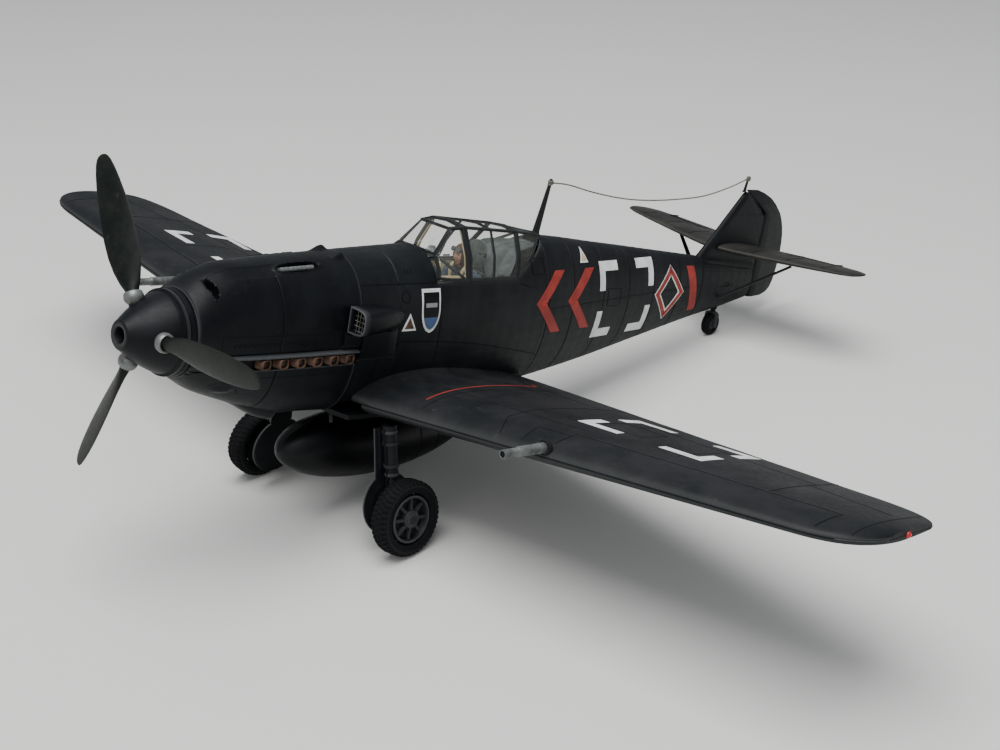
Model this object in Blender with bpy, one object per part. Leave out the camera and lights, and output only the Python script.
"""A 1/48 scale plastic model of a low-wing single-seat fighter, standing on its wheels.

The design is drawn level at the full-size aircraft's dimensions, in metres:
X to the aircraft's left, Y aft from the spinner's nose, Z up from the propeller axis.
An empty named attitude scales nothing: every mesh is built at model size, and the empty
only pitches the level design nose-up, so that it stands on its main and tail wheels.
"""
import math

import bmesh
import bpy
import numpy as np
from mathutils import Vector

# ---------------------------------------------------------------- driving dimensions
SCALE = 1.0 / 48.0

GLUE_GAP = 0.0048          # between glued pieces, full-size metres (0.1 mm on the model)
RUN_GAP = 0.0096           # between a moving piece and its neighbour (0.2 mm on the model)
RUN_FIT = 0.004            # radial play of a pin in its bore (0.08 mm on the model)
WALL = 0.055               # moulded wall (1.15 mm on the model)
GLASS = 0.026              # clear parts' wall (0.54 mm on the model)

NOSE_Y = 0.46              # front rim of the cowling
COWL_REAR_Y = 1.98
WING_CUT_Y = (2.00, 4.28)  # the fuselage is open underneath between these stations
STERN_Y = 8.10
SILL_Z = 0.40              # cockpit sill
SILL_Y = (2.84, 3.87)      # where the sill is level
DECK_REAR_Y = 4.36         # where the cockpit opening closes behind the canopy
EXHAUST_Z = (-0.235, -0.095)

SPAN_HALF = 4.93
ROOT_X = 0.44
WING_ROOT_Z = -0.585
DIHEDRAL = 0.109           # rise of the wing per unit of span

SPINNER_RADIUS = 0.335
SPINNER_LENGTH = 0.40
PROP_PLANE_Y = 0.200
PROP_RADIUS = 1.40
PROP_START = math.radians(-33.0)
PROP_PITCH = math.radians(28.0)

WHEEL = Vector((0.955, 2.311, -1.418))   # left main wheel's centre
WHEEL_RADIUS = 0.325
WHEEL_WIDTH = 0.18
RIM_RADIUS = 0.205
CAMBER = math.radians(6.5)
LEG_TOP = Vector((0.70, 2.21, -0.690))
AXLE_RADIUS = 0.03
SHAFT_RADIUS = 0.045
TAIL_PIN_RADIUS = 0.016

TAIL_WHEEL = Vector((0.0, 7.57, -0.325))
TAIL_RADIUS = 0.125
TAIL_WIDTH = 0.085

TREAD_FACETS = 24
BULGE_FRAME = (Vector((0.0, 0.0, -1.0)), Vector((1.0, 0.0, 0.0)), Vector((0.0, 1.0, 0.0)))
TANK_RADIUS = 0.305
MAST_BASE = Vector((0.0, 4.40, 0.70))
MAST_TOP = Vector((0.0, 4.485, 1.215))
FIN_POST_BASE = Vector((0.0, 7.665, 1.115))
FIN_POST_TOP = Vector((0.0, 7.70, 1.305))
THREAD_RADIUS = 0.0072     # 0.3 mm thread on the model

# knots of the fuselage's lines: station, value
TOP_LINE = ((0.46, 0.350), (0.56, 0.425), (0.72, 0.500), (1.10, 0.548), (1.65, 0.578),
            (2.10, 0.602), (2.65, 0.628), (3.20, 0.660), (3.90, 0.695), (4.36, 0.702),
            (5.30, 0.622), (6.25, 0.528), (7.05, 0.448), (7.60, 0.395), (8.10, 0.345))
BOTTOM_LINE = ((0.46, -0.350), (0.60, -0.440), (0.85, -0.540), (1.10, -0.620),
               (1.43, -0.720), (1.70, -0.730), (2.20, -0.752), (3.20, -0.752),
               (4.26, -0.690), (5.23, -0.560), (6.20, -0.385), (7.19, -0.205),
               (7.60, -0.140), (8.10, -0.045))
WIDTH_LINE = ((0.46, 0.350), (0.60, 0.372), (0.80, 0.392), (1.20, 0.418), (2.00, 0.438),
              (2.90, 0.440), (3.85, 0.415), (4.40, 0.378), (5.20, 0.306), (6.10, 0.218),
              (7.00, 0.142), (7.60, 0.098), (8.10, 0.060))
MIDDLE_LINE = ((0.46, 0.0), (1.00, -0.030), (2.00, -0.050), (3.00, -0.050),
               (4.40, 0.000), (6.00, 0.080), (7.00, 0.120), (8.10, 0.150))
FIN_EDGE = ((7.06, 0.445), (7.695, 1.135))   # foot and top of the fin's leading edge
HINGE_LINE = ((7.745, 1.135), (8.115, 0.905))  # the rudder's horn, down to the stern post
FIN_HALF = 0.042

COLOURS = {
    "black_paint": ((0.014, 0.017, 0.021), 0.55, 0.0),
    "rubber_black": ((0.012, 0.013, 0.014), 0.75, 0.0),
    "blade_green": ((0.040, 0.050, 0.042), 0.50, 0.0),
    "gun_metal": ((0.16, 0.16, 0.15), 0.45, 0.4),
    "exhaust_brown": ((0.075, 0.048, 0.040), 0.80, 0.0),
    "cockpit_buff": ((0.45, 0.38, 0.22), 0.65, 0.0),
    "armour_grey": ((0.055, 0.060, 0.065), 0.60, 0.0),
    "figure_blue": ((0.070, 0.100, 0.150), 0.70, 0.0),
    "clear_styrene": ((0.90, 0.93, 0.92), 0.08, 0.0),
    "lamp_red": ((0.45, 0.03, 0.03), 0.30, 0.0),
    "thread_grey": ((0.20, 0.19, 0.18), 0.80, 0.0),
}


# ---------------------------------------------------------------- making nodes
def clear_scene():
    """Removes whatever the new file holds."""
    for item in list(bpy.data.objects):
        bpy.data.objects.remove(item, do_unlink=True)


def material(name):
    """The shared Principled material of that name."""
    found = bpy.data.materials.get(name)
    if found:
        return found
    colour, roughness, metallic = COLOURS[name]
    made = bpy.data.materials.new(name)
    made.use_nodes = True
    shader = made.node_tree.nodes["Principled BSDF"]
    shader.inputs["Base Color"].default_value = (*colour, 1.0)
    shader.inputs["Roughness"].default_value = roughness
    shader.inputs["Metallic"].default_value = metallic
    return made


def node(name, points, faces, finish, pivot=(0.0, 0.0, 0.0)):
    """One named piece from full-size points; its origin goes to the pivot."""
    pivot = Vector(pivot)
    mesh = bpy.data.meshes.new(name)
    placed = [tuple((Vector(p) - pivot) * SCALE) for p in points]
    mesh.from_pydata(placed, [], [tuple(int(i) for i in f) for f in faces])
    work = bmesh.new()
    work.from_mesh(mesh)
    bmesh.ops.recalc_face_normals(work, faces=work.faces)
    work.to_mesh(mesh)
    work.free()
    mesh.shade_smooth()
    mesh.set_sharp_from_angle(angle=math.radians(35.0))
    piece = bpy.data.objects.new(name, mesh)
    bpy.context.scene.collection.objects.link(piece)
    mesh.materials.append(material(finish))
    piece.location = pivot * SCALE
    piece.parent = ATTITUDE
    return piece


def grid_faces(rows, columns, start=0, closed=False):
    """Quads of a rows x columns grid of points, numbered along each row."""
    faces = []
    last = columns if closed else columns - 1
    for i in range(rows - 1):
        for j in range(last):
            k = (j + 1) % columns
            a = start + i * columns
            b = a + columns
            faces.append((a + j, a + k, b + k, b + j))
    return faces


def plate(name, outer, inner, finish, pivot=(0.0, 0.0, 0.0)):
    """A closed wall between two grids of points of the same shape."""
    outer = np.asarray(outer, float)
    inner = np.asarray(inner, float)
    rows, columns = outer.shape[:2]
    count = rows * columns
    points = np.concatenate([outer.reshape(-1, 3), inner.reshape(-1, 3)])
    faces = grid_faces(rows, columns)
    faces += [tuple(reversed([i + count for i in f])) for f in grid_faces(rows, columns)]
    index = np.arange(count).reshape(rows, columns)
    rim = list(index[0, :]) + list(index[1:, -1]) + list(index[-1, -2::-1]) + list(index[-2:0:-1, 0])
    for a, b in zip(rim, rim[1:] + rim[:1]):
        faces.append((b, a, a + count, b + count))
    return node(name, points, faces, finish, pivot)


def loft(name, rings, finish, pivot=(0.0, 0.0, 0.0)):
    """A solid through closed rings of equal count, capped at both ends."""
    rings = np.asarray(rings, float)
    rows, columns = rings.shape[:2]
    faces = grid_faces(rows, columns, closed=True)
    faces.append(tuple(reversed(range(columns))))
    faces.append(tuple(range((rows - 1) * columns, rows * columns)))
    return node(name, rings.reshape(-1, 3), faces, finish, pivot)


def prism(name, outline, offset, finish, pivot=(0.0, 0.0, 0.0)):
    """A flat outline pushed along a vector."""
    count = len(outline)
    first = [Vector(p) for p in outline]
    second = [p + Vector(offset) for p in first]
    faces = [tuple(range(count)), tuple(range(2 * count - 1, count - 1, -1))]
    faces += [(i, (i + 1) % count, count + (i + 1) % count, count + i) for i in range(count)]
    return node(name, first + second, faces, finish, pivot)


def turned(name, profile, finish, centre, axis=(0.0, 1.0, 0.0), sides=20, start=0.0,
           closed=False):
    """A profile of (distance along the axis, radius) turned about it."""
    frame = axis_frame(axis)
    rings = [ring(centre, frame, along, radius, radius, sides, start) for along, radius in profile]
    if not closed:
        return loft(name, rings, finish, centre)
    rings = np.asarray(rings, float)
    faces = grid_faces(len(rings), sides, closed=True)
    last = (len(rings) - 1) * sides
    for j in range(sides):
        k = (j + 1) % sides
        faces.append((last + j, last + k, k, j))
    return node(name, rings.reshape(-1, 3), faces, finish, centre)


def axis_frame(axis):
    """Three unit vectors: the axis, and two across it (the second near to up)."""
    along = Vector(axis).normalized()
    helper = Vector((0.0, 0.0, 1.0)) if abs(along.z) < 0.9 else Vector((0.0, 1.0, 0.0))
    side = helper.cross(along).normalized()
    return along, side, along.cross(side)


def ring(centre, frame, along, side_radius, up_radius, sides, start=0.0):
    """Points of an ellipse across an axis."""
    axis, side, up = frame
    base = Vector(centre) + axis * along
    turn = [start + 2.0 * math.pi * i / sides for i in range(sides)]
    return [base + side * (side_radius * math.cos(t)) + up * (up_radius * math.sin(t)) for t in turn]


def pipe(name, stops, finish, sides=10, pivot=(0.0, 0.0, 0.0)):
    """A rod through stops of (point, side radius, up radius), with mitred bends."""
    places = [Vector(s[0]) for s in stops]
    rings = []
    for i, (_, side_radius, up_radius) in enumerate(stops):
        before = places[i] - places[i - 1] if i else places[1] - places[0]
        after = places[i + 1] - places[i] if i + 1 < len(stops) else before
        tangent = before.normalized() + after.normalized()
        rings.append(ring(places[i], axis_frame(tangent), 0.0, side_radius, up_radius, sides))
    return loft(name, rings, finish, pivot)


def cut(piece, cutters):
    """Takes the cutters' shapes out of a piece, and leaves the cutters as guides."""
    for cutter in cutters:
        cutter.hide_render = True
        cutter.display_type = "WIRE"
        boolean = piece.modifiers.new("cut", "BOOLEAN")
        boolean.operation = "DIFFERENCE"
        boolean.solver = "EXACT"
        boolean.object = cutter


def join(piece, guide):
    """Moulds a guide's shape onto a piece, and leaves the guide as a helper."""
    guide.hide_render = True
    guide.display_type = "WIRE"
    boolean = piece.modifiers.new("join", "BOOLEAN")
    boolean.operation = "UNION"
    boolean.solver = "EXACT"
    boolean.object = guide


def side_name(side):
    """The suffix of a piece on the aircraft's left (+1) or right (-1)."""
    return "left" if side > 0 else "right"


# ---------------------------------------------------------------- the fuselage's surface
def line(knots, station):
    """A smooth value between knots, by cubic pieces with central slopes."""
    at = np.array([k[0] for k in knots])
    value = np.array([k[1] for k in knots])
    slope = np.gradient(value, at)
    i = int(np.clip(np.searchsorted(at, station) - 1, 0, len(at) - 2))
    width = at[i + 1] - at[i]
    u = min(max((station - at[i]) / width, 0.0), 1.0)
    return ((2 * u**3 - 3 * u**2 + 1) * value[i] + (u**3 - 2 * u**2 + u) * width * slope[i]
            + (3 * u**2 - 2 * u**3) * value[i + 1] + (u**3 - u**2) * width * slope[i + 1])


def fullness(station):
    """Exponent of the oval section: round at the nose, squarer at the cockpit."""
    return 2.0 + 0.35 * math.exp(-((station - 2.6) / 1.3) ** 2)


def section(station, angle):
    """Skin point at an angle from the top (0) to the bottom (pi), on the left side."""
    width = line(WIDTH_LINE, station)
    middle = line(MIDDLE_LINE, station)
    power = 2.0 / fullness(station)
    up = math.cos(angle)
    reach = line(TOP_LINE, station) - middle if up > 0 else middle - line(BOTTOM_LINE, station)
    x = width * abs(math.sin(angle)) ** power
    z = middle + math.copysign(reach * abs(up) ** power, up)
    return Vector((x, station, z))


def angle_at(station, height):
    """The section's angle where its skin is at a height."""
    middle = line(MIDDLE_LINE, station)
    power = fullness(station) / 2.0
    edge = line(TOP_LINE, station) if height > middle else line(BOTTOM_LINE, station)
    share = min(1.0, abs((height - middle) / (edge - middle)))
    angle = math.acos(share ** power)
    return angle if height > middle else math.pi - angle


def half_width(station, height):
    """How far out the skin is at a height."""
    return section(station, angle_at(station, height)).x


def wall_grid(grid, thickness):
    """The same grid moved inwards along its own normals."""
    grid = np.asarray(grid, float)
    along = np.gradient(grid, axis=0)
    across = np.gradient(grid, axis=1)
    normal = np.cross(along, across)
    normal /= np.linalg.norm(normal, axis=2, keepdims=True)
    centre = grid.mean(axis=1, keepdims=True)
    outward = np.sum(normal * (grid - centre), axis=(0, 1, 2)) > 0
    return grid - normal * (thickness if outward else -thickness)


# ---------------------------------------------------------------- fuselage pieces
def fin_top(station):
    """Height of the fin's upper edge over a station, or of the spine before it."""
    (foot_y, foot_z), (top_y, top_z) = FIN_EDGE
    (horn_y, horn_z), (post_y, post_z) = HINGE_LINE
    if station <= foot_y:
        return line(TOP_LINE, station)
    if station <= top_y:
        return foot_z + (station - foot_y) / (top_y - foot_y) * (top_z - foot_z)
    share = min(1.0, max(0.0, (station - horn_y) / (post_y - horn_y)))
    return horn_z + share * (post_z - horn_z)


def fuselage_row(station, side):
    """Outer and inner points of a half shell's section at a station."""
    if SILL_Y[0] <= station <= DECK_REAR_Y:
        back = max(0.0, (station - SILL_Y[1]) / (DECK_REAR_Y - SILL_Y[1]))
        rim = SILL_Z + back * (line(TOP_LINE, DECK_REAR_Y) - 0.02 - SILL_Z)
        first = angle_at(station, rim)
    else:
        first = 0.0
    open_below = WING_CUT_Y[0] <= station <= WING_CUT_Y[1]
    last = angle_at(station, -0.615) if open_below else math.pi
    wall = min(WALL, 0.45 * line(WIDTH_LINE, station))
    rise = max(0.0, fin_top(station) - line(TOP_LINE, station))
    morph = min(1.0, rise / 0.10)
    outer = []
    inner = []
    for share in (0.0, 0.05, 0.12, 0.22, 0.34, 0.46, 0.58, 0.70, 0.80, 0.90, 1.0):
        angle = first + share * (last - first)
        point = section(station, angle)
        middle = Vector((0.0, station, line(MIDDLE_LINE, station)))
        inward = (middle - point).normalized()
        deep = point + inward * wall
        if share < 0.30 and morph > 0.0:
            up = 1.0 - share / 0.30
            lift = rise * up
            stand = min(FIN_HALF, FIN_HALF * math.sqrt(1.0 - up + 0.10))
            point = Vector((point.x * (1 - morph) + stand * morph, station, point.z + lift))
            deep = Vector((0.0, station, point.z - 0.02 - 0.01 * (1.0 - up)))
        edge = GLUE_GAP / 2.0
        outer.append((side * max(point.x, edge), point.y, point.z))
        inner.append((side * max(deep.x, edge), deep.y, deep.z))
    if not first:
        outer[0] = (side * GLUE_GAP / 2.0, outer[0][1], outer[0][2])
    if not open_below:
        outer[-1] = (side * GLUE_GAP / 2.0, outer[-1][1], outer[-1][2])
    return outer, inner


def fuselage_halves():
    """Left and right moulded shells, each with its half of the fin."""
    step = 0.004
    stations = (COWL_REAR_Y + GLUE_GAP, WING_CUT_Y[0] + 0.01, 2.40, SILL_Y[0] - 0.01, SILL_Y[0] + step,
                3.30, SILL_Y[1], 4.12, WING_CUT_Y[1] - step, DECK_REAR_Y - 0.01, DECK_REAR_Y + step,
                4.80, 5.40, 6.10, 6.70, 7.05, 7.20, 7.40, 7.60, 7.70, 7.85, STERN_Y)
    for side in (1, -1):
        rows = [fuselage_row(station, side) for station in stations]
        plate("fuselage_" + side_name(side), [r[0] for r in rows], [r[1] for r in rows], "black_paint")


def cowl_grid(first_y, last_y, low_angle, high_angle, stations, columns):
    """A grid of skin points over both sides between two signed angles."""
    rows = []
    for i in range(stations):
        share = (i / (stations - 1)) ** 1.6
        y = first_y + share * (last_y - first_y)
        low = low_angle(y)
        high = high_angle(y)
        row = []
        for j in range(columns):
            angle = low + (high - low) * j / (columns - 1)
            folded = abs((angle + math.pi) % (2.0 * math.pi) - math.pi)
            point = section(y, folded)
            if (angle + math.pi) % (2.0 * math.pi) - math.pi < 0:
                point.x = -point.x
            row.append(tuple(point))
        rows.append(row)
    return np.array(rows)


def cowl_inside(grid):
    """A cowling's inner face, with its long edges level with the outer face's."""
    inside = wall_grid(grid, WALL)
    inside[:, [0, -1], 2] = grid[:, [0, -1], 2]
    return inside


def cowlings():
    """Upper cowling with its gun openings, and the lower one with the oil cooler's bath."""
    upper_edge = EXHAUST_Z[1] + GLUE_GAP
    lower_edge = EXHAUST_Z[0] - GLUE_GAP
    grid = cowl_grid(NOSE_Y, COWL_REAR_Y, lambda y: -angle_at(y, upper_edge),
                     lambda y: angle_at(y, upper_edge), 8, 21)
    upper = plate("upper_cowling", grid, cowl_inside(grid), "black_paint")
    cutters = []
    for side in (1, -1):
        hole = pipe("gun_opening_cutter_" + side_name(side),
                    [((side * 0.20, 1.22, 0.60), 0.016, 0.12), ((side * 0.20, 1.26, 0.60), 0.040, 0.12),
                     ((side * 0.20, 1.60, 0.60), 0.045, 0.12), ((side * 0.20, 1.66, 0.60), 0.018, 0.12)],
                    "black_paint", 8)
        slot = prism("gun_slot_cutter_" + side_name(side),
                     [(side * 0.10, 0.59, 0.40), (side * 0.26, 0.62, 0.34), (side * 0.26, 0.67, 0.34),
                      (side * 0.10, 0.64, 0.40)], (side * 0.06, 0.0, 0.22), "black_paint")
        cutters += [hole, slot]
    cut(upper, cutters)
    grid = cowl_grid(NOSE_Y, COWL_REAR_Y, lambda y: angle_at(y, lower_edge),
                     lambda y: 2.0 * math.pi - angle_at(y, lower_edge), 9, 15)
    plate("lower_cowling", grid, cowl_inside(grid), "black_paint")


def cooler_bath():
    """The oil cooler's lip under the chin, open at the back."""
    rings = []
    for y, width, drop in ((1.12, 0.10, 0.000), (1.22, 0.17, 0.030), (1.34, 0.20, 0.050), (1.44, 0.21, 0.055)):
        top = line(BOTTOM_LINE, y) - GLUE_GAP - 0.002
        low = top - 0.006 - drop
        rings.append([(-width, y, top + 0.0), (width, y, top + 0.0), (width * 0.9, y, low), (-width * 0.9, y, low)])
    for y, share in ((1.44, 0.88), (1.30, 0.80)):
        top = line(BOTTOM_LINE, y) - GLUE_GAP - 0.010
        low = line(BOTTOM_LINE, 1.44) - GLUE_GAP - 0.006 - 0.045 * share
        width = 0.19 * share
        rings.append([(-width, y, top), (width, y, top), (width * 0.9, y, low), (-width * 0.9, y, low)])
    loft("oil_cooler_bath", rings, "black_paint")


def exhausts():
    """A recessed comb of six flat stubs a side, under a thin deflector strip."""
    first, last, count = 0.975, 1.965, 6
    pitch = (last - first) / count
    low, high = EXHAUST_Z
    for side in (1, -1):
        root = [half_width(0.66 + (last + 0.005 - 0.66) * i / 4, low) for i in range(5)]
        base = [(side * (r - 0.03), 0.66 + (last + 0.005 - 0.66) * i / 4, low) for i, r in enumerate(root)]
        comb = [(side * (half_width(0.66, low) + 0.002), 0.66, low)]
        for i in range(count):
            start = first + i * pitch
            inner = half_width(start, low)
            tip = inner + 0.045
            comb += [(side * inner, start, low), (side * tip, start + 0.006, low),
                     (side * (tip + 0.004), start + 0.60 * pitch, low),
                     (side * inner, start + 0.62 * pitch, low)]
        comb.append((side * half_width(last + 0.005, low), last + 0.005, low))
        prism("exhaust_stubs_" + side_name(side), comb + base[::-1], (0.0, 0.0, high - low - 0.038),
              "exhaust_brown")
        strip_low = high - 0.032
        outline = []
        back = []
        for i in range(7):
            y = 0.64 + (last + 0.008 - 0.64) * i / 6
            reach = half_width(y, strip_low)
            outline.append((side * (reach + 0.035 * math.sin(math.pi * min(1.0, (i + 0.5) / 3.0) / 2)), y, strip_low))
            back.append((side * (reach - 0.03), y, strip_low))
        prism("exhaust_deflector_" + side_name(side), outline + back[::-1], (0.0, 0.0, 0.030), "black_paint")


def intake():
    """The supercharger's intake on the left of the cowling's rear, open at the front."""
    def rounded(y, out, low, high, shrink):
        inner = max(half_width(y, low), half_width(y, high)) + GLUE_GAP + shrink
        bevel = 0.03
        return [(inner, y, low + shrink), (out - bevel - shrink, y, low + shrink),
                (out - shrink, y, low + bevel + shrink), (out - shrink, y, high - bevel - shrink),
                (out - bevel - shrink, y, high - shrink), (inner, y, high - shrink)]

    stops = ((2.40, 0.478, 0.120, 0.190), (2.30, 0.530, 0.080, 0.235), (2.15, 0.585, 0.055, 0.255),
             (1.98, 0.625, 0.045, 0.262), (1.83, 0.635, 0.042, 0.262))
    rings = [rounded(y, out, low, high, 0.0) for y, out, low, high in stops]
    rings.append(rounded(1.83, 0.635, 0.042, 0.262, 0.022))
    rings.append(rounded(1.95, 0.630, 0.045, 0.262, 0.024))
    loft("supercharger_intake", rings, "black_paint")


def cowl_guns():
    """Two barrels lying in the cowling's long openings."""
    for side in (1, -1):
        pipe("cowl_gun_" + side_name(side),
             [((side * 0.20, 1.16, 0.385), 0.018, 0.018), ((side * 0.20, 1.44, 0.395), 0.018, 0.018),
              ((side * 0.20, 1.45, 0.395), 0.025, 0.025), ((side * 0.20, 1.74, 0.400), 0.025, 0.025)],
             "gun_metal", 8)


# ---------------------------------------------------------------- propeller
def propeller():
    """Spinner, back plate, the one-piece three-blade propeller, its shaft and the nose bearing."""
    spinner_rear = SPINNER_LENGTH
    curve = [(0.004, 0.115), (0.0, 0.100), (0.0, 0.062), (0.06, 0.056), (0.06, 0.020)]
    outer = []
    for i in range(7):
        share = 1.0 - i / 6.0
        outer.append((spinner_rear * share + 0.02 * (1 - share),
                      0.135 + (SPINNER_RADIUS - 0.135) * math.sin(math.pi / 2 * share) ** 0.85))
    inner = [(0.10, 0.020), (0.12, 0.110), (0.20, 0.215), (spinner_rear, SPINNER_RADIUS - 0.05)]
    profile = inner + outer + curve
    spinner = turned("spinner", profile, "black_paint", (0.0, 0.0, 0.0), sides=24, closed=True)
    turned("spinner_backplate",
           [(spinner_rear + GLUE_GAP, SHAFT_RADIUS + GLUE_GAP), (spinner_rear + GLUE_GAP, SPINNER_RADIUS),
            (NOSE_Y - 0.014, SPINNER_RADIUS + 0.002), (NOSE_Y - 0.014, SHAFT_RADIUS + GLUE_GAP)],
           "black_paint", (0.0, 0.0, 0.0), sides=24, closed=True)
    openings = []
    for k in range(3):
        turn = PROP_START + k * 2.0 * math.pi / 3.0
        out = Vector((math.sin(turn), 0.0, math.cos(turn)))
        centre = Vector((0.0, PROP_PLANE_Y, 0.0))
        openings.append(pipe("blade_opening_%d" % (k + 1),
                             [(centre + out * 0.125, 0.082, 0.082), (centre + out * 0.60, 0.082, 0.082)],
                             "black_paint", 14))
    cut(spinner, openings)
    blades_and_hub()
    shaft_front = PROP_PLANE_Y + 0.060 + GLUE_GAP
    turned("propeller_shaft", [(shaft_front, 0.020), (shaft_front, SHAFT_RADIUS), (0.62, SHAFT_RADIUS),
                               (0.62, 0.020)],
           "gun_metal", (0.0, 0.0, 0.0), sides=12)
    collar_bore = SHAFT_RADIUS + GLUE_GAP
    turned("shaft_collar", [(0.545, collar_bore), (0.545, 0.115), (0.60, 0.115), (0.60, collar_bore)],
           "black_paint", (0.0, 0.0, 0.0), sides=14, closed=True)
    bearing_bore = SHAFT_RADIUS + RUN_FIT
    turned("nose_bearing", [(NOSE_Y + 0.014, bearing_bore), (NOSE_Y + 0.014, 0.290),
                            (NOSE_Y + 0.065, 0.290), (NOSE_Y + 0.065, bearing_bore)],
           "black_paint", (0.0, 0.0, 0.0), sides=24, closed=True)


def blades_and_hub():
    """Hub disc with three blades, each a round root, a collar and a twisted blade."""
    hub = turned("propeller", [(PROP_PLANE_Y - 0.075, 0.030), (PROP_PLANE_Y - 0.075, 0.10),
                               (PROP_PLANE_Y + 0.060, 0.10), (PROP_PLANE_Y + 0.060, 0.030)],
                 "blade_green", (0.0, 0.0, 0.0), sides=18)
    sections = ((0.06, 0.050, 0.050), (0.235, 0.050, 0.050), (0.237, 0.064, 0.064), (0.300, 0.064, 0.064),
                (0.302, 0.052, 0.052), (0.40, 0.085, 0.034), (0.62, 0.135, 0.024), (0.90, 0.138, 0.018),
                (1.17, 0.112, 0.013), (1.32, 0.084, 0.010), (1.375, 0.056, 0.008), (PROP_RADIUS, 0.022, 0.006))
    for k in range(3):
        turn = PROP_START + k * 2.0 * math.pi / 3.0
        out = Vector((math.sin(turn), 0.0, math.cos(turn)))
        side = Vector((math.cos(turn), 0.0, -math.sin(turn)))
        rings = []
        for radius, half_chord, half_thick in sections:
            pitch = PROP_PITCH * (1.35 - 0.75 * radius / PROP_RADIUS)
            chord = side * math.cos(pitch) + Vector((0.0, 1.0, 0.0)) * math.sin(pitch)
            thick = side * -math.sin(pitch) + Vector((0.0, 1.0, 0.0)) * math.cos(pitch)
            base = Vector((0.0, PROP_PLANE_Y, 0.0)) + out * radius
            rings.append([base + chord * (half_chord * math.cos(t)) + thick * (half_thick * math.sin(t))
                          for t in (2.0 * math.pi * i / 10 for i in range(10))])
        join(hub, loft("blade_guide_%d" % (k + 1), rings, "blade_green"))


# ---------------------------------------------------------------- wings
def wing_edges(x):
    """Leading and trailing edge of the wing at a distance out, with a rounded tip."""
    share = (x - ROOT_X) / (4.40 - ROOT_X)
    lead = 2.10 + 0.22 * share
    trail = 4.28 - 0.70 * share
    if x > 4.40:
        bend = (x - 4.40) / (SPAN_HALF - 4.40)
        lead = 2.32 + 0.0294 * bend + 0.45 * (1.0 - math.sqrt(max(0.0, 1.0 - bend ** 2.6)))
        trail = 3.58 - 0.10 * bend - 0.22 * (1.0 - math.sqrt(max(0.0, 1.0 - bend ** 3.0)))
    return lead, trail


def wing_depth(x):
    """Greatest thickness of the wing at a distance out."""
    share = (x - ROOT_X) / (SPAN_HALF - ROOT_X)
    return 0.315 * (1.0 - share) + 0.100 * share


def wing_plane(x):
    """Height of the chord plane at a distance out."""
    return WING_ROOT_Z + DIHEDRAL * (x - ROOT_X)


def aerofoil(share):
    """Half thickness over the chord from nose (0) to tail (1); its greatest value is 0.5."""
    return 5.0 * (0.2969 * math.sqrt(share) - 0.1260 * share - 0.3516 * share ** 2
                  + 0.2843 * share ** 3 - 0.1015 * share ** 4)


CHORD_SHARES = (0.0, 0.012, 0.05, 0.12, 0.25, 0.42, 0.62, 0.82, 0.96, 1.0)


def wing_half(side, stations, upper):
    """Grids of an outer wing panel's skin and of its hollow inside."""
    outer = []
    inner = []
    sign = 1.0 if upper else -1.0
    for x in stations:
        lead, trail = wing_edges(x)
        part = wing_plane(x) + sign * GLUE_GAP / 2.0
        depth = wing_depth(x) * (0.60 if upper else 0.42)
        skin = []
        hollow = []
        for share in CHORD_SHARES:
            y = lead + share * (trail - lead)
            rise = max(depth * 2.0 * aerofoil(share), 0.0) + 0.010
            place = x
            if upper and x == stations[0]:
                place = half_width(y, part + rise) + GLUE_GAP
            skin.append((side * place, y, part + sign * rise))
            floor = max(0.0, rise - WALL)
            hollow.append((side * place, y, part + sign * floor))
        outer.append(skin)
        inner.append(hollow)
    return outer, inner


WING_STATIONS = (ROOT_X + 0.015, 1.20, 2.36, 3.40, 4.40, 4.66, 4.83, SPAN_HALF - 0.01)


def wings():
    """Two upper panels, and one lower moulding right across with the belly; returns the latter."""
    for side in (1, -1):
        outer, inner = wing_half(side, WING_STATIONS, True)
        plate("upper_wing_" + side_name(side), outer, inner, "black_paint")
    left_outer, left_inner = wing_half(1, WING_STATIONS, False)
    right_outer, right_inner = wing_half(-1, WING_STATIONS, False)
    belly_outer = []
    belly_inner = []
    for x in (0.425, 0.0, -0.425):
        skin = []
        hollow = []
        for share in CHORD_SHARES:
            y = WING_CUT_Y[0] + 0.006 + share * (WING_CUT_Y[1] - WING_CUT_Y[0] - 0.016)
            curve = 1.0 - (abs(x) / 0.60) ** 2
            low = -0.700 + (line(BOTTOM_LINE, y) + 0.700) * curve
            skin.append((x, y, low))
            hollow.append((x, y, low + WALL * 0.7))
        belly_outer.append(skin)
        belly_inner.append(hollow)
    outer = right_outer[::-1] + belly_outer[::-1] + left_outer
    inner = right_inner[::-1] + belly_inner[::-1] + left_inner
    lower = plate("lower_wing", outer, inner, "black_paint")
    for side in (1, -1):
        x = SPAN_HALF - 0.002
        lead, trail = wing_edges(SPAN_HALF - 0.01)
        y = 0.55 * lead + 0.45 * trail
        turned("tip_light_" + side_name(side), [(0.0, 0.016), (0.03, 0.024), (0.055, 0.014)],
               "lamp_red", (side * (x + 0.002), y, wing_plane(x)), axis=(side, 0.0, 0.0), sides=8)
    return lower


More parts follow.
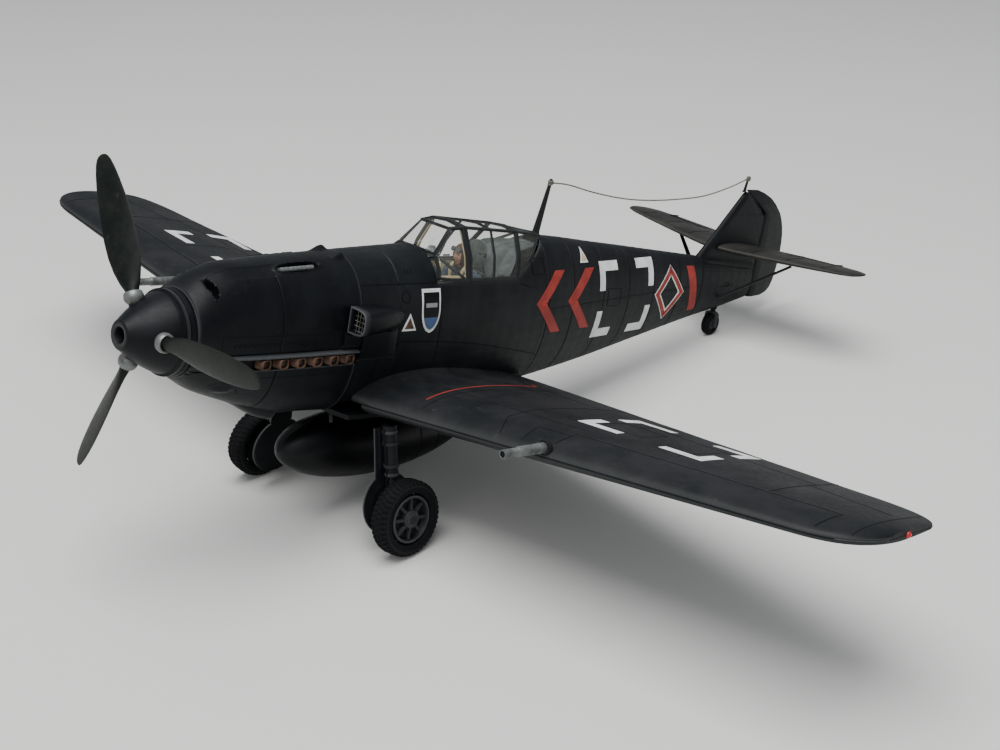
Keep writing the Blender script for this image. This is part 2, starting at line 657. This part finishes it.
def wing_guns(lower):
    """Short barrels out of the leading edges, and the round bulges moulded under them."""
    for side in (1, -1):
        x = 2.33
        lead, trail = wing_edges(x)
        z = wing_plane(x) + 0.075
        pipe("wing_gun_" + side_name(side),
             [((side * x, lead - 0.46, z), 0.034, 0.034), ((side * x, lead - 0.30, z), 0.036, 0.036),
              ((side * x, lead - 0.29, z), 0.041, 0.041), ((side * x, lead + 0.004, z), 0.041, 0.041)],
             "gun_metal", 12)
        low = wing_plane(x) - wing_depth(x) * 0.42
        rings = [ring((side * (x + 0.12), lead + 0.62, low - 0.075 * math.sin(turn)), BULGE_FRAME, 0.0,
                      0.21 * math.cos(turn), 0.34 * math.cos(turn), 14)
                 for turn in (math.pi / 2 * i / 4.4 for i in range(-1, 5))]
        join(lower, loft("gun_bulge_guide_" + side_name(side), rings, "black_paint"))


def radiators():
    """Shallow coolant radiator baths under the inner wings."""
    for side in (1, -1):
        rings = []
        for y, drop, inset in ((2.95, 0.012, 0.05), (3.00, 0.075, 0.0), (3.35, 0.115, 0.0), (3.85, 0.090, 0.0),
                               (3.86, 0.030, 0.02)):
            rows = []
            for x, foot in ((0.95 + inset, True), (1.62 - inset, True), (1.60 - inset, False), (0.97 + inset, False)):
                lead, trail = wing_edges(x)
                share = (y - lead) / (trail - lead)
                skin = wing_plane(x) - GLUE_GAP - wing_depth(x) * 0.84 * aerofoil(share) - 0.022
                rows.append((side * x, y, skin if foot else skin - drop))
            rings.append(rows)
        loft("radiator_" + side_name(side), rings, "black_paint")


# ---------------------------------------------------------------- tail
def tailplanes():
    """Left and right tailplanes with moulded elevators, each braced by a strut."""
    stations = ((0.150, 7.33, 8.14, 0.044), (0.60, 7.42, 8.17, 0.038), (1.05, 7.52, 8.14, 0.028),
                (1.34, 7.60, 8.08, 0.020), (1.46, 7.67, 8.00, 0.014), (1.50, 7.76, 7.92, 0.008))
    for side in (1, -1):
        rings = []
        for x, lead, trail, thick in stations:
            z = 0.530 + 0.055 * x
            upper = [(side * x, lead + s * (trail - lead), z + 2.0 * thick * aerofoil(s) + 0.005)
                     for s in (0.0, 0.03, 0.15, 0.40, 0.70, 1.0)]
            lower = [(side * x, y, 2.0 * z - height) for _, y, height in reversed(upper)]
            rings.append(upper + lower)
        rings[0] = [(side * (tail_half_width(y, z) + GLUE_GAP), y, z) for _, y, z in rings[0]]
        loft("tailplane_" + side_name(side), rings, "black_paint")
        foot = Vector((side * (half_width(7.46, 0.0) + 0.016), 7.46, 0.0))
        head = Vector((side * 0.74, 7.72, 0.530 + 0.055 * 0.74 - 0.062))
        pipe("tailplane_strut_" + side_name(side),
             [(foot, 0.030, 0.014), (foot.lerp(head, 0.5), 0.036, 0.016), (head, 0.030, 0.014)],
             "black_paint", 8)


def tail_half_width(station, height):
    """How far out the tail's side or the fin is at a height."""
    if height < line(TOP_LINE, station) - 0.03:
        return max(half_width(station, height), FIN_HALF + 0.004)
    return FIN_HALF + 0.004


def rudder():
    """The rudder with its horn, a little behind the stern post."""
    (horn_y, horn_z), (post_y, post_z) = HINGE_LINE
    levels = ((-0.035, 8.42), (0.05, 8.575), (0.20, 8.625), (0.45, 8.640), (0.66, 8.605), (0.82, 8.530),
              (post_z + 0.012, 8.470), (1.00, 8.345), (1.07, 8.230), (1.125, 8.080), (1.160, 7.930))
    rings = []
    for z, rear in levels:
        front = post_y + GLUE_GAP
        if z > post_z:
            front = post_y + (z - post_z) / (horn_z - post_z) * (horn_y - post_y) + 0.014
        half = FIN_HALF if z < 1.0 else FIN_HALF * (1.16 - z) / 0.16 * 0.8 + 0.009
        left = [(half, front, z), (half * 1.05, front + 0.25 * (rear - front), z),
                (half * 0.55, front + 0.7 * (rear - front), z), (0.008, rear, z)]
        rings.append(left + [(-x, y, z) for x, y, z in reversed(left)])
    loft("rudder", rings, "black_paint")


def tail_wheel():
    """A fork on a stem under the stern, and the small wheel turning on its own two pins in it."""
    x, y, z = TAIL_WHEEL
    arm = TAIL_WIDTH / 2.0 + RUN_GAP
    thick = 0.022
    crown = z + TAIL_RADIUS + 0.018
    top = line(BOTTOM_LINE, y) - GLUE_GAP
    outline = [(-arm - thick, y - 0.03, z - 0.03), (-arm, y - 0.03, z - 0.03), (-arm, y - 0.03, crown - 0.012),
               (arm, y - 0.03, crown - 0.012), (arm, y - 0.03, z - 0.03), (arm + thick, y - 0.03, z - 0.03),
               (arm + thick, y - 0.03, crown + 0.004), (0.045, y - 0.03, top), (-0.045, y - 0.03, top),
               (-arm - thick, y - 0.03, crown + 0.004)]
    fork = prism("tail_wheel_fork", outline, (0.0, 0.06, 0.0), "black_paint")
    hole = TAIL_PIN_RADIUS + RUN_FIT
    cut(fork, [pipe("tail_pin_cutter", [((x - 0.10, y, z), hole, hole), ((x + 0.10, y, z), hole, hole)],
                    "black_paint", 16)])
    half = TAIL_WIDTH / 2.0
    pin_end = arm + thick * 0.8
    turned("tail_wheel", [(-pin_end, TAIL_PIN_RADIUS), (-half, TAIL_PIN_RADIUS), (-half, 0.085), (-half * 0.8, 0.118), (-half * 0.4, TAIL_RADIUS),
                          (half * 0.4, TAIL_RADIUS), (half * 0.8, 0.118), (half, 0.085), (half, TAIL_PIN_RADIUS),
                          (pin_end, TAIL_PIN_RADIUS)],
           "rubber_black", TAIL_WHEEL, axis=(1.0, 0.0, 0.0), sides=20, start=bottom_facet((1.0, 0.0, 0.0), 20))


# ---------------------------------------------------------------- main gear
def ground_angle():
    """Pitch of the model when its main and tail wheels touch one flat surface."""
    rise = TAIL_WHEEL.z - WHEEL.z
    reach = TAIL_WHEEL.y - WHEEL.y
    return math.atan2(rise, reach) + math.asin((WHEEL_RADIUS - TAIL_RADIUS) / math.hypot(rise, reach))


def bottom_facet(axis, sides):
    """Start angle that puts the middle of one facet downwards when the model stands."""
    down = Vector((0.0, math.sin(ground_angle()), -math.cos(ground_angle())))
    _, side, up = axis_frame(axis)
    return math.atan2(down.dot(up), down.dot(side)) + math.pi / sides


def wheel_frame(side):
    """The left or right wheel's centre and axis, which points outboard and up: the wheels splay."""
    centre = Vector((side * WHEEL.x, WHEEL.y, WHEEL.z))
    axis = Vector((side * math.cos(CAMBER), 0.0, math.sin(CAMBER)))
    return centre, axis


def main_gear():
    """Legs with bent axles, inboard doors, hubs and tyres."""
    half = WHEEL_WIDTH / 2.0
    for side in (1, -1):
        word = side_name(side)
        centre, axis = wheel_frame(side)
        start = bottom_facet(axis, TREAD_FACETS)
        turned("tyre_" + word,
               [(-half, RIM_RADIUS + 0.006), (-half, 0.245), (-half * 0.93, 0.285), (-half * 0.62, WHEEL_RADIUS - 0.006),
                (-half * 0.5, WHEEL_RADIUS), (half * 0.5, WHEEL_RADIUS), (half * 0.62, WHEEL_RADIUS - 0.006),
                (half * 0.93, 0.285), (half, 0.245), (half, RIM_RADIUS + 0.006)],
               "rubber_black", centre, axis=axis, sides=TREAD_FACETS, start=start, closed=True)
        turned("hub_" + word,
               [(-half * 0.75, AXLE_RADIUS + RUN_FIT), (-half * 0.75, RIM_RADIUS), (half * 0.80, RIM_RADIUS),
                (half * 0.80, 0.165), (half * 0.45, 0.150), (half * 0.45, 0.085), (half * 0.92, 0.070),
                (half * 0.92, AXLE_RADIUS + RUN_FIT)],
               "black_paint", centre, axis=axis, sides=TREAD_FACETS, start=start, closed=True)
        foot = centre - axis * (half + 0.052)
        top = Vector((side * LEG_TOP.x, LEG_TOP.y, LEG_TOP.z))
        knee = foot.lerp(top, 0.45)
        pipe("main_leg_" + word,
             [(top, 0.058, 0.058), (knee, 0.056, 0.056), (foot.lerp(top, 0.43), 0.040, 0.040),
              (foot.lerp(top, 0.06), 0.040, 0.040), (foot + axis * 0.02, AXLE_RADIUS, AXLE_RADIUS),
              (centre - axis * half * 0.6, AXLE_RADIUS, AXLE_RADIUS),
              (centre + axis * half * 0.75, AXLE_RADIUS, AXLE_RADIUS)],
             "black_paint", 12)
        gear_door(side, centre, axis, top)


def gear_door(side, centre, axis, top):
    """The thin door on the inboard side of the leg and wheel."""
    foot = centre - axis * (WHEEL_WIDTH / 2.0 + 0.052)
    up = (top - foot).normalized()
    axis = (axis - up * up.dot(axis)).normalized()
    inboard = foot - axis * 0.092
    fore = axis.cross(up) * side
    length = (top - foot).length - 0.02
    outline = [inboard + up * length + fore * 0.10, inboard + up * length - fore * 0.10,
               inboard + up * 0.42 - fore * 0.11]
    radius = 0.262
    for i in range(13):
        turn = math.radians(60.0 - i * 25.0)
        outline.append(inboard + up * (radius * math.sin(turn)) - fore * (radius * math.cos(turn)))
    outline.append(inboard + up * 0.42 + fore * 0.11)
    prism("gear_door_" + side_name(side), outline, axis * 0.022, "black_paint")


# ---------------------------------------------------------------- drop tank
def drop_tank():
    """A teardrop tank in left and right halves, hung on a curved rack."""
    axis_z, nose, tail = -1.100, 1.675, 3.930
    shares = (0.0, 0.03, 0.10, 0.22, 0.38, 0.56, 0.74, 0.88, 0.97, 1.0)

    def radius(share):
        return 0.045 + math.sqrt(share) * (1.0 - share ** 1.7) ** 0.8

    peak = max(radius(i / 50.0) for i in range(51))
    for side in (1, -1):
        outer = []
        inner = []
        for share in shares:
            y = nose + share * (tail - nose)
            reach = radius(share) * TANK_RADIUS / peak
            wall = min(WALL * 0.8, reach * 0.5)
            skin = []
            hollow = []
            for j in range(9):
                turn = math.pi * j / 8
                x = max(math.sin(turn) * reach, GLUE_GAP / 2)
                skin.append((side * x, y, axis_z + math.cos(turn) * reach))
                x = max(math.sin(turn) * (reach - wall), GLUE_GAP / 2)
                hollow.append((side * x, y, axis_z + math.cos(turn) * (reach - wall)))
            outer.append(skin)
            inner.append(hollow)
        plate("drop_tank_" + side_name(side), outer, inner, "black_paint")
    rings = []
    for y, width in ((2.20, 0.05), (2.30, 0.085), (2.60, 0.10), (2.95, 0.085), (3.10, 0.05)):
        share = (y - nose) / (tail - nose)
        reach = radius(share) * TANK_RADIUS / peak
        low = axis_z + reach + GLUE_GAP * 1.5
        high = line(BOTTOM_LINE, y) - GLUE_GAP * 1.5
        rings.append([(-width, y, low), (width, y, low), (width, y, high), (-width, y, high)])
    loft("tank_rack", rings, "black_paint")
    pipe("belly_drain_pipe", [((0.14, 2.075, line(BOTTOM_LINE, 2.075) - GLUE_GAP), 0.028, 0.028),
                              ((0.14, 2.085, -0.845), 0.018, 0.018)], "black_paint", 8)


# ---------------------------------------------------------------- cockpit
def cockpit():
    """Floor tray, seat, stick, instrument panel, gunsight, armour, rear deck and pilot."""
    floor, wide, wall = -0.30, 0.27, 0.02
    outline = [(-wide, 2.86, 0.10), (-wide, 2.86, floor), (wide, 2.86, floor), (wide, 2.86, 0.10),
               (wide - wall, 2.86, 0.10), (wide - wall, 2.86, floor + wall), (-wide + wall, 2.86, floor + wall),
               (-wide + wall, 2.86, 0.10)]
    prism("cockpit_tray", outline, (0.0, 1.00, 0.0), "cockpit_buff")
    base = floor + wall + GLUE_GAP
    outline = [(-0.20, 3.32, base + 0.14), (-0.20, 3.74, base + 0.14), (-0.20, 3.82, base + 0.62),
               (-0.20, 3.79, base + 0.62), (-0.20, 3.71, base + 0.18), (-0.20, 3.32, base + 0.18)]
    prism("seat", outline, (0.40, 0.0, 0.0), "cockpit_buff")
    pipe("control_stick", [((0.0, 3.14, base), 0.016, 0.016), ((0.0, 3.17, base + 0.30), 0.012, 0.012),
                           ((0.0, 3.19, base + 0.37), 0.020, 0.020)], "armour_grey", 8)
    reach = half_width(2.90, 0.40) - 0.09
    outline = [(-reach, 2.90, 0.10), (reach, 2.90, 0.10), (reach, 2.90, 0.44), (0.14, 2.90, 0.54), (-0.14, 2.90, 0.54),
               (-reach, 2.90, 0.44)]
    prism("instrument_panel", outline, (0.0, 0.03, 0.0), "armour_grey")
    outline = [(0.03, 2.955, 0.556), (0.03, 3.07, 0.556), (0.03, 3.07, 0.615), (0.03, 3.02, 0.63), (0.03, 3.00, 0.70),
               (0.03, 2.985, 0.70), (0.03, 2.985, 0.615), (0.03, 2.955, 0.60)]
    prism("gunsight", outline, (0.075, 0.0, 0.0), "armour_grey")
    rings = [ring((0.0, y, 0.575), axis_frame((0.0, 1.0, 0.0)), 0.0, 0.105, 0.155, 14) for y in (3.665, 3.685)]
    loft("head_armour", rings, "armour_grey")
    outline = [(-0.17, 3.84, 0.375), (-0.17, 3.88, 0.55), (-0.17, 4.22, 0.585), (-0.17, 4.22, 0.555),
               (-0.17, 3.92, 0.52), (-0.17, 3.87, 0.365)]
    prism("rear_deck", outline, (0.34, 0.0, 0.0), "cockpit_buff")
    pilot(base)


def pilot(base):
    """A seated figure in one moulding, from lap to helmet."""
    stops = ((3.24, 0.260, 0.14, 0.060), (3.40, 0.275, 0.16, 0.070), (3.52, 0.330, 0.17, 0.090),
             (3.585, 0.440, 0.155, 0.085), (3.60, 0.560, 0.165, 0.085), (3.60, 0.650, 0.110, 0.060))
    rings = []
    tilt = [Vector((0.0, 1.0, 0.2)), Vector((0.0, 1.0, 0.4)), Vector((0.0, 0.8, 0.9)), Vector((0.0, 0.2, 1.0)),
            Vector((0.0, 0.0, 1.0)), Vector((0.0, 0.0, 1.0))]
    for (y, rise, wide, deep), axis in zip(stops, tilt):
        along, _, _ = axis_frame(axis)
        across = Vector((1.0, 0.0, 0.0))
        up = along.cross(across) * -1.0
        rings.append(ring((0.0, y, base + rise), (along, across, up), 0.0, wide, deep, 10))
    neck = Vector((0.0, 3.565, base + 0.70))
    upright = (Vector((0.0, 0.0, 1.0)), Vector((1.0, 0.0, 0.0)), Vector((0.0, -1.0, 0.0)))
    for rise, reach in ((0.0, 0.045), (0.05, 0.070), (0.11, 0.082), (0.17, 0.068), (0.205, 0.025)):
        rings.append(ring(neck + Vector((0.0, 0.0, rise)), upright, 0.0, reach * 0.95, reach, 10))
    loft("pilot_figure", rings, "figure_blue")


# ---------------------------------------------------------------- canopy
def canopy():
    """Fixed windscreen, hinged hood and fixed rear section, all clear."""
    front = [(-0.362, 2.855, 0.432), (-0.330, 2.870, 0.505), (-0.225, 2.905, 0.612), (0.0, 2.850, 0.668),
             (0.225, 2.905, 0.612), (0.330, 2.870, 0.505), (0.362, 2.855, 0.432)]
    middle = [(-0.366, 3.020, 0.415), (-0.315, 3.035, 0.585), (-0.175, 3.080, 0.818), (0.0, 3.080, 0.832),
              (0.175, 3.080, 0.818), (0.315, 3.035, 0.585), (0.366, 3.020, 0.415)]
    rear = [(-0.370, 3.220, 0.410), (-0.318, 3.223, 0.600), (-0.195, 3.226, 0.832), (0.0, 3.227, 0.852),
            (0.195, 3.226, 0.832), (0.318, 3.223, 0.600), (0.370, 3.220, 0.410)]
    grid = np.array([front, middle, rear])
    plate("windscreen", grid, glass_inside(grid), "clear_styrene")
    gap = RUN_GAP
    start = np.array(rear) + (0.0, gap, 0.0)
    end = np.array([(-0.352, 3.855, 0.410), (-0.300, 3.890, 0.585), (-0.170, 3.935, 0.782), (0.0, 3.940, 0.800),
                    (0.170, 3.935, 0.782), (0.300, 3.890, 0.585), (0.352, 3.855, 0.410)])
    grid = np.array([start, (start + end) / 2.0, end])
    hinge = Vector((-0.372, 3.53, 0.410))
    plate("canopy_hood", grid, glass_inside(grid), "clear_styrene", hinge)
    start = end + (0.0, gap, 0.0)
    tail = np.array([(-0.350, 3.885, 0.418), (-0.262, 4.110, 0.590), (-0.100, 4.325, 0.726), (0.0, 4.335, 0.734),
                     (0.100, 4.325, 0.726), (0.262, 4.110, 0.590), (0.350, 3.885, 0.418)])
    grid = np.array([start, start * 0.5 + tail * 0.5, tail])
    plate("rear_canopy", grid, glass_inside(grid), "clear_styrene")


def glass_inside(grid):
    """A clear piece's inner face: the same sections shrunk towards the cockpit's middle."""
    inside = np.array(grid, float)
    reach = np.hypot(inside[:, :, 0], inside[:, :, 2] - 0.36)
    share = 1.0 - GLASS / reach
    inside[:, :, 0] *= share
    inside[:, :, 2] = 0.36 + (inside[:, :, 2] - 0.36) * share
    low = [0, -1]
    inside[:, low, 2] = np.asarray(grid)[:, low, 2]
    return inside


# ---------------------------------------------------------------- aerial
def aerial():
    """Raked mast, the short post on the fin, and the slack thread between them."""
    pipe("aerial_mast", [(MAST_BASE + Vector((0.0, 0.0, 0.010)), 0.022, 0.046), (MAST_TOP, 0.012, 0.022)],
         "black_paint", 8)
    pipe("fin_post", [(FIN_POST_BASE + Vector((0.0, 0.0, 0.05)), 0.014, 0.020), (FIN_POST_TOP, 0.010, 0.012)],
         "black_paint", 8)
    route = (Vector((0.0, 4.530, 1.190)), Vector((0.002, 4.75, 1.175)), Vector((-0.004, 5.15, 1.105)),
             Vector((0.005, 5.60, 1.052)), Vector((-0.003, 6.05, 1.034)), Vector((0.004, 6.50, 1.050)),
             Vector((-0.004, 6.95, 1.085)), Vector((0.003, 7.35, 1.175)), Vector((0.0, 7.655, 1.268)))
    curve = bpy.data.curves.new("aerial_thread", "CURVE")
    curve.dimensions = "3D"
    curve.bevel_depth = THREAD_RADIUS * SCALE
    curve.bevel_resolution = 2
    curve.render_resolution_u = 0
    curve.use_fill_caps = True
    spline = curve.splines.new("POLY")
    points = smooth_route(route, 49)
    spline.points.add(len(points) - 1)
    for place, point in zip(spline.points, points):
        place.co = (*(point * SCALE), 1.0)
    curve.materials.append(material("thread_grey"))
    thread = bpy.data.objects.new("aerial_thread", curve)
    bpy.context.scene.collection.objects.link(thread)
    thread.parent = ATTITUDE


def smooth_route(route, count):
    """Evenly numbered points of a smooth curve through the route's own points."""
    points = []
    last = len(route) - 1
    for i in range(count):
        place = i / (count - 1) * last
        k = min(int(place), last - 1)
        u = place - k
        a = route[max(k - 1, 0)]
        b = route[k]
        c = route[k + 1]
        d = route[min(k + 2, last)]
        points.append(0.5 * (2.0 * b + (c - a) * u + (2.0 * a - 5.0 * b + 4.0 * c - d) * u ** 2
                             + (3.0 * b - a - 3.0 * c + d) * u ** 3))
    return points


# ---------------------------------------------------------------- assembly
def stand_on_wheels():
    """Pitches the level design to its ground attitude, with its box centred over the origin."""
    pitch = ground_angle()
    ATTITUDE.rotation_euler = (-pitch, 0.0, 0.0)
    bpy.context.view_layer.update()
    low = [float("inf")] * 3
    high = [float("-inf")] * 3
    graph = bpy.context.evaluated_depsgraph_get()
    for item in bpy.context.scene.objects:
        if item.type not in {"MESH", "CURVE"} or item.hide_render:
            continue
        solid = item.evaluated_get(graph)
        mesh = solid.to_mesh()
        for vertex in mesh.vertices:
            place = solid.matrix_world @ vertex.co
            low = [min(a, b) for a, b in zip(low, place)]
            high = [max(a, b) for a, b in zip(high, place)]
        solid.to_mesh_clear()
    ATTITUDE.location = (-(low[0] + high[0]) / 2.0, -(low[1] + high[1]) / 2.0, -low[2])
    bpy.context.view_layer.update()


clear_scene()
ATTITUDE = bpy.data.objects.new("attitude", None)
bpy.context.scene.collection.objects.link(ATTITUDE)
fuselage_halves()
cowlings()
cooler_bath()
exhausts()
intake()
cowl_guns()
propeller()
wing_guns(wings())
radiators()
tailplanes()
rudder()
tail_wheel()
main_gear()
drop_tank()
cockpit()
canopy()
aerial()
stand_on_wheels()
